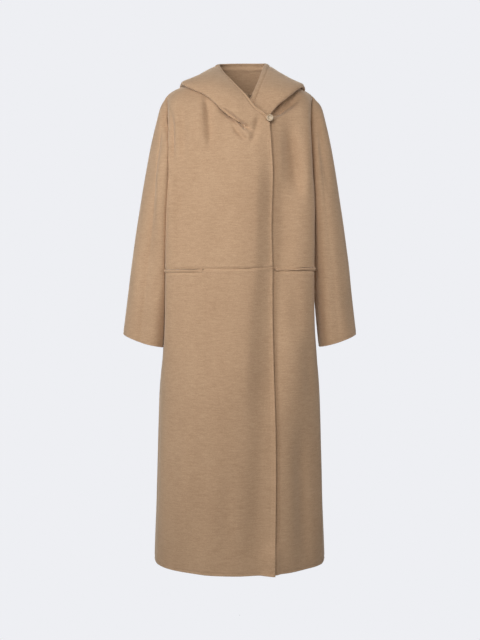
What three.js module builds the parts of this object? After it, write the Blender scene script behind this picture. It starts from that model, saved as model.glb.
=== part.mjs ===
// A long hooded coat of double-faced wool, in the form it takes when it is worn, with no wearer inside.
// Millimetres, +Z up, the front towards -Y and the wearer's left towards +X. The origin is on the
// shoulder line, midway between the neck points, where a wearer's shoulders carry the coat.
//
// The body is laid out on two forms, front and back. A place on a form is a level, which is the height
// of the row through it on the centre line, and an angle, 0 at the centre and 90 degrees at the side.
import * as THREE from 'three';

// ---------------------------------------------------------------- driving sizes
const CLOTH = 3; // the double-faced cloth is this thick
const GAP = 0.3; // pieces stay this far apart at a seam
const LAP = CLOTH + 2; // how far the right front stands out where it laps over the left one
const CORNER_LIFT = 10; // how much more the folded end of the left hood pushes its top corner out
const LIP = 10; // the pocket welts are this tall
const SEAT = 0.8; // how far a welt stands proud of the skirt, and the shank's foot off the left front
const HEM = -1285;
const WAIST = -513; // the seam between bodice and skirt
const UNDERARM = -332;
const NECK = { front: -46, back: 10 }; // levels of the neckline's lowest rows
const ARMHOLE_STEPS = 10; // rows of cloth between the underarm and the shoulder tip
const ROUNDNESS = 0.909; // power that squares the rows a little from a true oval

const WOOL = { color: 0xb8946c, roughness: 0.95, metalness: 0 };
const HORN = { color: 0xd6c3a3, roughness: 0.45, metalness: 0 };
const THREAD = { color: 0xb59a78, roughness: 0.9, metalness: 0 };

const degrees = THREE.MathUtils.degToRad;
const mix = THREE.MathUtils.lerp;
const ease = (x, from, to) => THREE.MathUtils.smoothstep(x, from, to);
const table = (names, rows) => rows.map((row) => Object.fromEntries(names.map((n, i) => [n, row[i]])));

// ---------------------------------------------------------------- the two forms
// A row runs round the coat from its centre line to its side. depth is its y on the centre line, side
// is where it ends: on the side seam, then the armhole, then the shoulder seam. corner is how far the
// cloth stands out between the two, where it falls past the arm. Rows of one number on the two forms
// end at the same place.
const ROW = ['level', 'depth', 'sideX', 'sideY', 'sideZ', 'corner'];
const AT_WAIST = 7;
const AT_UNDERARM = 9;
const AT_TIP = 14;
const AT_NECK = 17;
const formTable = (rows) => table(['number', ...ROW], rows.map((row, i) => [i, ...row]));
const FRONT = {
  facing: -1,
  rows: formTable([
    [HEM, -161, 228, -12, HEM, 0],
    [-1140, -158, 225, -10, -1140, 0],
    [-1000, -155, 222, -6, -1000, 0],
    [-860, -151, 219, 0, -860, 5],
    [-760, -148, 211, 6, -760, 15],
    [-680, -145, 197, 10, -680, 33],
    [-600, -142, 185, 12, -600, 46],
    [WAIST, -140, 180, 12, WAIST, 52],
    [-422, -138, 180, 12, -422, 53],
    [UNDERARM, -134, 182, 12, UNDERARM, 52],
    [-268, -130, 182, -8, -268, 46],
    [-205, -125, 184, -24, -203, 38],
    [-150, -117, 187, -34, -140, 27],
    [-112, -107, 191, -30, -85, 13],
    [-88, -98, 197, 8, -40, 5],
    [-70, -88, 165, 9, -21, 0],
    [-56, -80, 122, 8, -8.5, 0],
    [NECK.front, -72, 80, 5, 0, 0],
  ]),
};
const BACK = {
  facing: 1,
  rows: formTable([
    [HEM, 142, 228, -12, HEM, 0],
    [-1140, 139, 225, -10, -1140, 0],
    [-1000, 136, 222, -6, -1000, 0],
    [-860, 132, 219, 0, -860, 2],
    [-760, 129, 211, 6, -760, 8],
    [-680, 126, 197, 10, -680, 16],
    [-600, 123, 185, 12, -600, 24],
    [WAIST, 120, 180, 12, WAIST, 29],
    [-422, 120, 180, 12, -422, 32],
    [UNDERARM, 122, 182, 12, UNDERARM, 32],
    [-262, 122, 183, 38, -268, 29],
    [-190, 119, 185, 60, -203, 24],
    [-125, 112, 188, 70, -140, 17],
    [-70, 101, 192, 56, -85, 8],
    [-38, 92, 197, 8, -40, 3],
    [-18, 84, 165, 9, -21, 0],
    [-2, 76, 122, 8, -8.5, 0],
    [NECK.back, 69, 80, 5, 0, 0],
  ]),
};

// Soft troughs in the cloth, each on one form, straight between its two ends and fading out past them.
const FOLDS = table(['form', 'topX', 'topZ', 'bottomX', 'bottomZ', 'width', 'depth'], [
  [FRONT, 34, -190, 44, -1270, 24, 5],
  [FRONT, 132, -90, 140, -420, 17, 7],
  [FRONT, 168, -820, 172, -1285, 30, 7],
  [FRONT, -92, -100, -90, -190, 12, 5],
  [FRONT, -158, -110, -150, -420, 16, 5],
  [FRONT, -120, -900, -128, -1285, 34, 4],
  [BACK, -70, -330, -84, -1285, 30, 8],
  [BACK, 78, -380, 92, -1285, 32, 8],
  [BACK, 4, -560, 2, -1285, 34, 6],
]);

// One column of a table at a place along its first column, on a smooth curve through the rows that
// nowhere swings past them.
function at(rows, column, place) {
  const key = Object.keys(rows[0])[0];
  const last = rows.length - 1;
  let i = 0;
  while (i < last - 1 && rows[i + 1][key] < place) i += 1;
  const rise = (n) => (rows[n + 1][column] - rows[n][column]) / (rows[n + 1][key] - rows[n][key]);
  const slope = (n) => {
    const before = rise(Math.max(n - 1, 0));
    const after = rise(Math.min(n, last - 1));
    if (before * after <= 0) return 0;
    const most = 3 * Math.min(Math.abs(before), Math.abs(after));
    return THREE.MathUtils.clamp((before + after) / 2, -most, most);
  };
  const span = rows[i + 1][key] - rows[i][key];
  const t = THREE.MathUtils.clamp((place - rows[i][key]) / span, 0, 1);
  const u = 1 - t;
  return rows[i][column] * (1 + 2 * t) * u * u + rows[i + 1][column] * (3 - 2 * t) * t * t
    + slope(i) * span * t * u * u - slope(i + 1) * span * t * t * u;
}

function trough(form, x, z) {
  const fade = 70;
  return FOLDS.filter((f) => f.form === form).reduce((sum, f) => {
    const along = THREE.MathUtils.clamp((f.topZ - z) / (f.topZ - f.bottomZ), 0, 1);
    const off = (x - mix(f.topX, f.bottomX, along)) / f.width;
    const ends = ease(f.topZ + 20 - z, 0, fade) * ease(z, f.bottomZ - fade, f.bottomZ);
    return sum + f.depth * Math.exp(-off * off) * ends;
  }, 0);
}

// The number, between those of the rows, of the row at a level.
function numberAt(form, level) {
  let low = 0;
  let high = AT_NECK;
  for (let i = 0; i < 26; i += 1) {
    const middle = (low + high) / 2;
    if (at(form.rows, 'level', middle) < level) low = middle;
    else high = middle;
  }
  return (low + high) / 2;
}

// The form's outer face at a level and an angle.
function formPoint(form, level, angle) {
  const a = degrees(THREE.MathUtils.clamp(angle, -90, 90));
  const number = numberAt(form, level);
  const row = Object.fromEntries(ROW.slice(1).map((name) => [name, at(form.rows, name, number)]));
  const across = Math.abs(Math.sin(a)) ** ROUNDNESS;
  const ahead = Math.max(Math.cos(a), 0) ** ROUNDNESS;
  const p = new THREE.Vector3(
    Math.sign(angle) * (row.sideX * across + row.corner * Math.sin(2 * a) ** 2),
    mix(row.sideY, row.depth, ahead),
    mix(row.sideZ, level, ahead * ahead),
  );
  const inward = trough(form, p.x, p.z) * ease(90 - Math.abs(angle), 0, 15);
  p.x -= inward * Math.sin(a);
  p.y -= inward * Math.cos(a) * form.facing;
  return p;
}

function formNormal(form, level, angle) {
  if (Math.abs(angle) > 89.9) return sideNormal(numberAt(form, level), Math.sign(angle));
  const top = form.rows.at(-1).level;
  const step = (l, a) => formPoint(form, Math.min(Math.max(l, HEM), top), a);
  const up = step(level + 1, angle).sub(step(level - 1, angle));
  const round = step(level, Math.min(angle + 0.5, 90)).sub(step(level, Math.max(angle - 0.5, -90)));
  return round.cross(up).multiplyScalar(-form.facing).normalize();
}

// The way out on the line where the two forms meet, halfway between the two.
function sideNormal(number, sign) {
  const normals = [FRONT, BACK].map((form) => formNormal(form, at(form.rows, 'level', number), 89.5 * sign));
  return normals[0].add(normals[1]).normalize();
}

// A point a given height above the form's outer face.
function above(form, level, angle, height) {
  return formPoint(form, level, angle).addScaledVector(formNormal(form, level, angle), height);
}

// The level and angle of the place on a form that has a given x and z, found by Newton's method.
function locate(form, x, z) {
  const top = form.rows.at(-1).level;
  const spot = { level: z, angle: Math.sign(x) * 30 };
  for (let round = 0; round < 16; round += 1) {
    const p = formPoint(form, spot.level, spot.angle);
    const byLevel = formPoint(form, Math.max(spot.level - 0.5, HEM), spot.angle).sub(p).multiplyScalar(-2);
    const byAngle = formPoint(form, spot.level, spot.angle + 0.25).sub(p).multiplyScalar(4);
    const size = byLevel.x * byAngle.z - byLevel.z * byAngle.x || 1e-6;
    const level = ((x - p.x) * byAngle.z - (z - p.z) * byAngle.x) / size;
    const angle = ((z - p.z) * byLevel.x - (x - p.x) * byLevel.z) / size;
    spot.level = THREE.MathUtils.clamp(spot.level + THREE.MathUtils.clamp(level, -15, 15), HEM + 0.5, top);
    spot.angle = THREE.MathUtils.clamp(spot.angle + THREE.MathUtils.clamp(angle, -8, 8), -89, 89);
  }
  return spot;
}

// ---------------------------------------------------------------- cloth
// A wall of cloth from a grid of points on its outer face and the way out at each. A ring closes on
// itself across its columns.
function clothGeometry(points, normals, thickness, ring = false) {
  const rows = points.length;
  const columns = points[0].length;
  const inward = (p, normal) => p.clone().addScaledVector(normal, -thickness);
  const inner = points.map((row, i) => row.map((p, j) => inward(p, normals[i][j])));
  const place = [...points.flat(), ...inner.flat()];
  const outside = (i, j) => i * columns + (j % columns);
  const inside = (i, j) => rows * columns + outside(i, j);
  const faces = [];
  const quad = (a, b, c, d) => faces.push(a, b, c, a, c, d);
  const spans = ring ? columns : columns - 1;
  for (let i = 0; i < rows - 1; i += 1) {
    for (let j = 0; j < spans; j += 1) {
      quad(outside(i, j), outside(i, j + 1), outside(i + 1, j + 1), outside(i + 1, j));
      quad(inside(i, j), inside(i + 1, j), inside(i + 1, j + 1), inside(i, j + 1));
    }
  }
  for (let j = 0; j < spans; j += 1) {
    quad(outside(0, j), inside(0, j), inside(0, j + 1), outside(0, j + 1));
    quad(outside(rows - 1, j), outside(rows - 1, j + 1), inside(rows - 1, j + 1), inside(rows - 1, j));
  }
  for (let i = 0; i < rows - 1 && !ring; i += 1) {
    quad(outside(i, 0), outside(i + 1, 0), inside(i + 1, 0), inside(i, 0));
    const end = columns - 1;
    quad(outside(i, end), inside(i, end), inside(i + 1, end), outside(i + 1, end));
  }
  const volume = (sum, _, n) => (n % 3 ? sum
    : sum + place[faces[n]].dot(place[faces[n + 1]].clone().cross(place[faces[n + 2]])));
  if (faces.reduce(volume, 0) < 0) faces.reverse();
  return new THREE.BufferGeometry().setFromPoints(place).setIndex(faces);
}

// Normals of a grid that lies on no form, from its neighbours, with the given sign.
function gridNormals(points, sign, ring = false) {
  const rows = points.length;
  const columns = points[0].length;
  const near = (n, count) => (ring ? (n + count) % count : THREE.MathUtils.clamp(n, 0, count - 1));
  return points.map((row, i) => row.map((_, j) => {
    const down = points[Math.min(i + 1, rows - 1)][j].clone().sub(points[Math.max(i - 1, 0)][j]);
    const round = row[near(j + 1, columns)].clone().sub(row[near(j - 1, columns)]);
    return round.cross(down).multiplyScalar(sign).normalize();
  }));
}

// Draws a grid's four sides in by half a seam gap, so that its neighbours stay clear of it.
function drawIn(points, by = GAP / 2 + 0.05) {
  const last = points.length - 1;
  const end = points[0].length - 1;
  const pull = (p, towards) => p.addScaledVector(towards.clone().sub(p).normalize(), by);
  points.forEach((row) => {
    pull(row[0], row[1]);
    pull(row[end], row[end - 1]);
  });
  points[0].forEach((p, j) => pull(p, points[1][j]));
  points[last].forEach((p, j) => pull(p, points[last - 1][j]));
  return points;
}

const coat = new THREE.Group();
const wool = new THREE.MeshStandardMaterial(WOOL);

function add(name, geometry, material = wool) {
  const mesh = new THREE.Mesh(geometry, material);
  mesh.name = name;
  coat.add(mesh);
}

// A panel cut to follow a form. place(u, v) gives the level and angle of each of its points, and
// lift(point) how far its outer face stands off the form there.
function addPanel(name, form, us, vs, place, lift = () => 0, thickness = CLOTH) {
  const spots = vs.map((v) => us.map((u) => place(u, v)));
  const normals = spots.map((row) => row.map((s) => formNormal(form, s.level, s.angle)));
  const points = spots.map((row, i) => row.map((s, j) => {
    const p = formPoint(form, s.level, s.angle);
    return p.addScaledVector(normals[i][j], lift(p));
  }));
  add(name, clothGeometry(drawIn(points), normals, thickness));
}

const steps = (count) => Array.from({ length: count + 1 }, (_, i) => i / count);

// A panel's places, filled in smoothly between its four sides (a Coons patch in level and angle).
function between(bottom, top, left, right) {
  const blend = (a, b, t) => ({ level: mix(a.level, b.level, t), angle: mix(a.angle, b.angle, t) });
  return (u, v) => {
    const upright = blend(bottom(u), top(u), v);
    const across = blend(left(v), right(v), u);
    const corners = blend(blend(left(0), right(0), u), blend(left(1), right(1), u), v);
    return {
      level: upright.level + across.level - corners.level,
      angle: upright.angle + across.angle - corners.angle,
    };
  };
}

// ---------------------------------------------------------------- edges and neckline
// The right front's free edge, from its corner under the button down to the hem.
const OVER_EDGE = table(['z', 'x'], [
  [HEM, 88.5], [-1143, 91], [-986, 92.5], [-870, 90], [-706, 86], [-584, 83.5], [WAIST, 84.5],
  [-401, 82], [-273, 86], [-190, 80], [-131, 75],
]);
// The left front's edge, hidden under it.
const UNDER_EDGE = table(['z', 'x'], [
  [HEM, -72], [-900, -68], [WAIST, -60], [-300, -44], [-130, -10],
]);
// The neckline seams from the neck point to the front corner. The hood hides all but the last stretch.
const OVER_NECKLINE = table(['along', 'x', 'z'], [
  [0.16, -71, -22], [0.3, -55, -48], [0.44, -37, -73], [0.57, -17, -103], [0.68, 1.5, -125], [0.77, 17, -140],
  [0.89, 45, -141], [1, 75, -131],
]);
const UNDER_NECKLINE = table(['along', 'x', 'z'], [
  [0.15, 86, -24], [0.32, 93, -52], [0.48, 88, -79], [0.62, 75, -104], [0.74, 61, -127], [0.86, 30, -136],
  [1, -10, -130],
]);

// A place on a neckline seam: its first stretch leaves the neck point, and the rest is through its table.
function necklinePlace(points, sign, along) {
  const first = points[0];
  const neck = { level: NECK.front, angle: 90 * sign };
  const spot = (t) => locate(FRONT, at(points, 'x', t), at(points, 'z', t));
  if (along >= first.along) return spot(along);
  const t = along / first.along;
  const start = spot(first.along);
  const next = spot(first.along + 0.05);
  const pull = (key) => (next[key] - start[key]) / 0.05 * first.along;
  const curve = (key) => mix(neck[key], start[key], t) + (t * t - t) * (pull(key) - (start[key] - neck[key]));
  return { level: curve('level'), angle: curve('angle') };
}

// How far the right front stands out: fully over the lap, and not at all at its side and shoulder seams.
function lapLift(p) {
  const corner = CORNER_LIFT * ease(p.z, -270, -150) * ease(p.x, -50, 40);
  return LAP * ease(p.x, -165, -88) * ease(-p.y, 5, 40) + corner;
}

const SKIRT_ROWS = steps(8);
const BODICE_ROWS = [
  ...steps(3).slice(0, -1).map((t) => mix(AT_WAIST, AT_UNDERARM, t)),
  ...steps(ARMHOLE_STEPS).slice(0, -1).map((t) => mix(AT_UNDERARM, AT_TIP, t)),
  ...steps(4).map((t) => mix(AT_TIP, AT_NECK, t)),
];

// One front bodice: from the side seam, armhole and shoulder seam to the front edge and neckline.
function addFrontBodice(name, sign, edge, neckline, lift) {
  const levels = BODICE_ROWS.map((number) => at(FRONT.rows, 'level', number));
  const rise = (v) => levels[Math.round(v * (levels.length - 1))];
  const topZ = edge.at(-1).z;
  const edgePlace = (z) => locate(FRONT, at(edge, 'x', z), z);
  const bottomEnd = edgePlace(WAIST);
  const place = between(
    (u) => ({ level: WAIST, angle: mix(90 * sign, bottomEnd.angle, u) }),
    (u) => necklinePlace(neckline, sign, u),
    (v) => ({ level: rise(v), angle: 90 * sign }),
    (v) => edgePlace(mix(WAIST, topZ, v)),
  );
  addPanel(name, FRONT, steps(12), steps(levels.length - 1), place, lift);
}

// The pocket mouths lie in the waist seam, from an angle near the front edge back past the sleeve.
const MOUTH = table(['angle', 'drop'], [
  [90, 0], [81, 0], [72, 0], [70.5, LIP], [61, LIP], [52, LIP], [43, LIP], [35, LIP], [28, LIP], [21.5, LIP],
  [20, 0],
]);

function addFrontSkirt(name, sign, edge, lift) {
  const end = (z) => locate(FRONT, at(edge, 'x', z), z);
  const mouthEnd = MOUTH.at(-1).angle;
  const last = end(WAIST).angle * sign;
  const more = steps(Math.round((mouthEnd - last) / 9)).slice(1);
  const columns = [...MOUTH, ...more.map((t) => ({ angle: mix(mouthEnd, last, t), drop: 0 }))];
  const place = (u, v) => {
    const z = mix(HEM, WAIST - columns[u].drop, v);
    const share = (90 - columns[u].angle) / (90 - last);
    return { level: mix(z, end(z).level, share), angle: mix(90 * sign, end(z).angle, share) };
  };
  addPanel(name, FRONT, columns.keys().toArray(), SKIRT_ROWS, place, lift);
}

function addWelt(name, sign, lift) {
  const mouth = MOUTH.filter((m) => m.drop > 0);
  const narrower = 0.4; // degrees, at each end
  const inset = (i) => (i === 0 ? -narrower : 0) + (i === mouth.length - 1 ? narrower : 0);
  const place = (u, v) => ({ level: WAIST - LIP * (1 - v), angle: (mouth[u].angle + inset(u)) * sign });
  addPanel(name, FRONT, mouth.keys().toArray(), steps(2), place, (p) => lift(p) + SEAT, CLOTH + SEAT);
}

function addBack() {
  const levels = BODICE_ROWS.map((number) => at(BACK.rows, 'level', number));
  const place = (u, v) => ({ level: levels[Math.round(v * (levels.length - 1))], angle: mix(-90, 90, u) });
  addPanel('back_bodice', BACK, steps(14), steps(levels.length - 1), place);
  const skirt = (u, v) => ({ level: mix(HEM, WAIST, v), angle: mix(-90, 90, u) });
  addPanel('back_skirt', BACK, steps(14), SKIRT_ROWS, skirt);
}

// ---------------------------------------------------------------- sleeves
// Each section is an oval through an outer and an inner point, so many millimetres deep each way from y.
const SLEEVE = table(['along', 'outerX', 'outerZ', 'innerX', 'innerZ', 'y', 'half'], [
  [0.05, 213, -60, 189, -346, 12, 66],
  [0.14, 228, -120, 192, -366, 14, 78],
  [0.28, 246, -200, 194, -405, 16, 84],
  [0.46, 267, -322, 196, -468, 17, 83],
  [0.64, 283, -420, 199, -540, 17, 80],
  [0.82, 299, -550, 205, -630, 14, 77],
  [1, 316, -685, 213, -720, 10, 74],
]);
const SWING = 8; // the left sleeve hangs this much further out below the shoulder
const SLEEVE_ROWS = [0, 0.05, 0.1, 0.17, 0.25, 0.34, 0.44, 0.55, 0.66, 0.78, 0.89, 1];

function armholePoint(turn) {
  const half = turn <= Math.PI ? FRONT : BACK;
  const number = mix(AT_TIP, AT_UNDERARM, turn <= Math.PI ? turn / Math.PI : 2 - turn / Math.PI);
  return formPoint(half, at(half.rows, 'level', number), 90).add(new THREE.Vector3(GAP + 0.1, 0, 0));
}

function addSleeve(name, sign, swing) {
  const turns = steps(2 * ARMHOLE_STEPS).slice(0, -1).map((t) => 2 * Math.PI * t);
  const section = (along, turn) => {
    const value = (column) => at(SLEEVE, column, along);
    const outwards = Math.cos(turn);
    return new THREE.Vector3(
      mix(value('innerX'), value('outerX') + swing * (1 - along), (1 + outwards) / 2),
      value('y') - value('half') * Math.sin(turn),
      mix(value('innerZ'), value('outerZ'), (1 + outwards) / 2),
    );
  };
  const points = SLEEVE_ROWS.map((along) => turns.map((turn) => {
    const p = along === 0 ? armholePoint(turn) : section(along, turn);
    p.x *= sign;
    return p;
  }));
  add(name, clothGeometry(points, gridNormals(points, sign, true), CLOTH, true));
}

// ---------------------------------------------------------------- hood
// Each half of the hood is a bag with its open rim up. A section runs from the neckline seam out over the
// body as the under layer, turns back up round the fold and rises as the outer layer to the rim. turn is
// how far round it bends there, level and angle where the fold lies on the form, stand how far it stands
// off it. full and lip push the outer layer out, above the fold and below the rim.
const SECTION = [
  'along', 'seam', 'level', 'angle', 'turn', 'radius', 'stand', 'rimX', 'rimY', 'rimZ', 'full', 'lip',
];
const HOOD_RIGHT = {
  sign: -1,
  neckline: OVER_NECKLINE,
  lift: lapLift,
  front: table(SECTION, [
    [0, 1, 0, 0, 0, 4, 0, 71, -126, -118, 0, 0],
    [0.04, 0.93, 0, 0, 0, 4, 0, 60, -126, -108, 0, 1],
    [0.08, 0.865, 0, 0, 30, 4, 0, 50, -123, -95, 1, 2],
    [0.12, 0.81, 0, 0, 70, 4, 0, 43, -120, -87, 2, 3],
    [0.16, 0.76, 0, 0, 120, 4, 0, 36, -117, -78, 3, 4],
    [0.2, 0.68, -130, 0.4, 180, 4.5, 1.2, 28, -112, -71, 4, 5],
    [0.28, 0.57, -114.3, 6, 180, 5, 2.4, 13, -101, -54, 6, 6],
    [0.36, 0.44, -94.9, 12.9, 180, 5.5, 2.4, -7, -83, -30, 8, 7],
    [0.44, 0.3, -81.7, 20.7, 180, 6, 1.8, -24, -59, -7, 8, 7],
    [0.5, 0.17, -72.5, 33, 180, 6.5, 1.8, -37, -34, 11, 6, 7],
    [0.56, 0.07, -68.5, 60, 180, 6.5, 1.8, -46, -8, 28, 2, 9],
    [0.61, 0, -66, 90, 180, 6, 1.8, -53, 20, 43, -3, 10],
  ]),
  back: table(SECTION, [
    [0.61, 90, -14.3, 90, 180, 6, 1.8, -53, 20, 43, -3, 10],
    [0.67, 74, -27, 56, 180, 7, 4, -57, 46, 54, -2, 10],
    [0.74, 58, -52, 45, 180, 10, 4, -52, 71, 61, 4, 7],
    [0.81, 42, -92, 37, 180, 13, 4, -41, 85, 64, 14, 9],
    [0.88, 27, -143, 28, 180, 16, 4, -28, 92, 66, 26, 11],
    [0.94, 13, -188, 16.5, 180, 18, 4, -14, 94.5, 66.7, 34, 12],
    [1, 0, -208, 0, 180, 18, 4, 0, 95, 67, 36, 12],
  ]),
};
const HOOD_LEFT = {
  sign: 1,
  neckline: UNDER_NECKLINE,
  lift: () => 0,
  front: table(SECTION, [
    [0, 1, 0, 0, 0, 4, 0, -12, -109, -118, 0, 0],
    [0.05, 0.93, 0, 0, 0, 4, 0, 2, -107, -104, 0, 0],
    [0.1, 0.86, 0, 0, 30, 4, 0, 12, -105, -90, 0, 0],
    [0.14, 0.81, 0, 0, 70, 4, 0, 20, -102, -78, 0, 0],
    [0.18, 0.74, 0, 0, 120, 4, 0, 27, -97, -68, 0, 0],
    [0.23, 0.62, -115, 21.2, 180, 4.5, 1.2, 34, -85, -50, 1, 3],
    [0.31, 0.48, -99, 26.2, 180, 6.5, 4, 42, -68, -30, 5, 6],
    [0.38, 0.38, -90.8, 31.7, 180, 7, 7, 48, -52, -14, 6, 7],
    [0.44, 0.27, -84.3, 39.2, 180, 7, 7, 54, -33, 5, 5, 7],
    [0.5, 0.15, -78, 52, 180, 7, 5, 60, -8, 26, 2, 6],
    [0.56, 0.07, -74.5, 69, 180, 6.5, 2, 65, 13, 41, -1, 5],
    [0.61, 0, -72, 90, 180, 6, 1.2, 69, 33, 52, -3, 4],
  ]),
  back: table(SECTION, [
    [0.61, 90, -20.5, 90, 180, 6, 1.2, 69, 33, 52, -3, 4],
    [0.67, 74, -33, 60, 180, 7, 4, 70.5, 57, 59, -2, 5],
    [0.74, 58, -57, 48, 180, 10, 4, 64, 75, 62.5, 4, 7],
    [0.81, 42, -94, 39, 180, 13, 4, 51, 86, 64.5, 14, 9],
    [0.88, 27, -143, 29, 180, 16, 4, 34, 92, 66, 26, 11],
    [0.94, 13, -188, 16.5, 180, 18, 4, 17, 94.5, 66.7, 34, 12],
    [1, 0, -208, 0, 180, 18, 4, 0, 95, 67, 36, 12],
  ]),
};
const UNDER_STEPS = 4;
const FOLD_STEPS = 3;
const OUTER_STEPS = 5;

// One section's outer points, from the seam to the rim.
function hoodSection(hood, form, row) {
  const seam = form === FRONT
    ? necklinePlace(hood.neckline, hood.sign, row.seam)
    : { level: NECK.back, angle: row.seam * hood.sign };
  const rim = new THREE.Vector3(row.rimX, row.rimY, row.rimZ);
  const clear = (p) => hood.lift(p) + 3 * GAP * ease(row.turn, 90, 150);
  const cover = (s, more) => above(form, s.level, s.angle, clear(formPoint(form, s.level, s.angle)) + more);
  const start = cover(seam, 0);
  const normal = formNormal(form, seam.level, seam.angle);
  const points = [start];
  const out = new THREE.Vector3();
  if (row.turn > 179) {
    const far = cover({ level: row.level, angle: row.angle * hood.sign }, 0);
    const share = Math.max(1 - row.radius / far.distanceTo(start), 0.2);
    for (const step of steps(UNDER_STEPS).slice(1)) {
      const t = step ** 1.6 * share;
      const s = { level: mix(seam.level, row.level, t), angle: mix(seam.angle, row.angle * hood.sign, t) };
      points.push(cover(s, row.stand * ease(t, 0, 0.3)));
    }
    out.copy(points.at(-1)).sub(points.at(-2)).normalize();
    normal.copy(formNormal(form, row.level, row.angle * hood.sign));
    normal.addScaledVector(out, -normal.dot(out)).normalize();
  } else {
    const bend = degrees(row.turn);
    const inwards = rim.clone().sub(start);
    inwards.addScaledVector(normal, -normal.dot(inwards)).normalize();
    start.addScaledVector(inwards, 2 * GAP);
    out.copy(inwards).multiplyScalar(Math.cos(bend)).addScaledVector(normal, Math.sin(bend));
    for (const t of steps(UNDER_STEPS).slice(1)) points.push(start.clone().addScaledVector(out, 3 * t));
    normal.multiplyScalar(-Math.cos(bend)).addScaledVector(inwards, Math.sin(bend));
  }
  const base = points.at(-1).clone();
  const whole = degrees(Math.max(row.turn, 1));
  const radius = row.turn > 179 ? row.radius : 2 * row.radius / whole;
  for (const t of steps(FOLD_STEPS).slice(1)) {
    const p = base.clone().addScaledVector(out, radius * Math.sin(whole * t));
    points.push(p.addScaledVector(normal, radius * (1 - Math.cos(whole * t))));
  }
  const top = points.at(-1);
  const back = out.clone().multiplyScalar(Math.cos(whole)).addScaledVector(normal, Math.sin(whole));
  const chord = rim.clone().sub(top);
  const reach = chord.length() / 3;
  const side = chord.clone().normalize();
  const away = normal.clone().addScaledVector(side, -normal.dot(side)).normalize();
  const handle = top.clone().addScaledVector(back, reach).addScaledVector(away, row.full);
  const lip = rim.clone().addScaledVector(chord, -1 / 3).addScaledVector(away, row.lip);
  const curve = new THREE.CubicBezierCurve3(top, handle, lip, rim);
  for (const t of steps(OUTER_STEPS).slice(1)) points.push(curve.getPointAt(t));
  return points;
}

function addHood(name, hood) {
  const halfway = (rows, i) => {
    const along = (rows[i].along + rows[i + 1].along) / 2;
    return Object.fromEntries(SECTION.map((column) => [column, at(rows, column, along)]));
  };
  const filled = (rows) => rows.flatMap((row, i) => (
    row.along > 0.35 && i < rows.length - 1 ? [row, halfway(rows, i)] : [row]));
  const points = [
    ...filled(hood.front).map((row) => hoodSection(hood, FRONT, row)),
    ...filled(hood.back).slice(1).map((row) => hoodSection(hood, BACK, row)),
  ];
  points.at(-1).forEach((p) => p.setX(0));
  const normals = gridNormals(points, -hood.sign);
  normals.at(-1).forEach((n) => n.setX(0).normalize());
  add(name, clothGeometry(drawIn(points), normals, CLOTH));
}

// ---------------------------------------------------------------- button
// It lies over the corner of the right front, drawn through a loop there, and its shank of wound thread is
// sewn to the left front behind.
const BUTTON = { x: 77.5, y: -129, z: -124, radius: 9, rim: 2, thickness: 4, dish: 1 };
const SHANK = { x: 79.5, z: -124.5, radius: 1.6 };

function addTurned(name, profile, x, y, z, material) {
  const outline = profile.map(([radius, height]) => new THREE.Vector2(radius, height));
  const geometry = new THREE.LatheGeometry(outline, 24);
  geometry.rotateX(Math.PI);
  geometry.translate(x, y, z);
  add(name, geometry, material);
}

function addButton() {
  const { radius, rim, thickness, dish } = BUTTON;
  const edge = 0.8;
  addTurned('button', [
    [0, 0], [radius - edge, 0], [radius, edge], [radius, thickness - edge], [radius - edge, thickness],
    [radius - rim, thickness], [radius - rim - dish, thickness - dish], [0, thickness - dish],
  ], BUTTON.x, BUTTON.y, BUTTON.z, new THREE.MeshStandardMaterial(HORN));
  const spot = locate(FRONT, SHANK.x, SHANK.z);
  const foot = formPoint(FRONT, spot.level, spot.angle).y - SEAT;
  addTurned('button_shank', [
    [0, 0], [SHANK.radius, 0], [SHANK.radius, foot - BUTTON.y - GAP], [0, foot - BUTTON.y - GAP],
  ], SHANK.x, foot, SHANK.z, new THREE.MeshStandardMaterial(THREAD));
}

addFrontBodice('right_front_bodice', -1, OVER_EDGE, OVER_NECKLINE, lapLift);
addFrontBodice('left_front_bodice', 1, UNDER_EDGE, UNDER_NECKLINE, () => 0);
addFrontSkirt('right_front_skirt', -1, OVER_EDGE, lapLift);
addFrontSkirt('left_front_skirt', 1, UNDER_EDGE, () => 0);
addWelt('right_pocket_welt', -1, lapLift);
addWelt('left_pocket_welt', 1, () => 0);
addBack();
addSleeve('right_sleeve', -1, 0);
addSleeve('left_sleeve', 1, SWING);
addHood('hood_right', HOOD_RIGHT);
addHood('hood_left', HOOD_LEFT);
addButton();

export default coat;
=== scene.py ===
"""A long hooded coat of double-faced camel wool, filled out as it is worn, with nobody in it.

Each piece of cloth is a thin shell on the form of its node in the frame. It is rounded off, and its
creases are laid in it as soft troughs and ridges in its own sizes. Metres, +Z up, the front towards -Y.
"""

import math
from collections import namedtuple

import bmesh
import bpy
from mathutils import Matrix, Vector, noise
from mathutils.bvhtree import BVHTree
from mathutils.geometry import intersect_point_line
from mathutils.kdtree import KDTree


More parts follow.
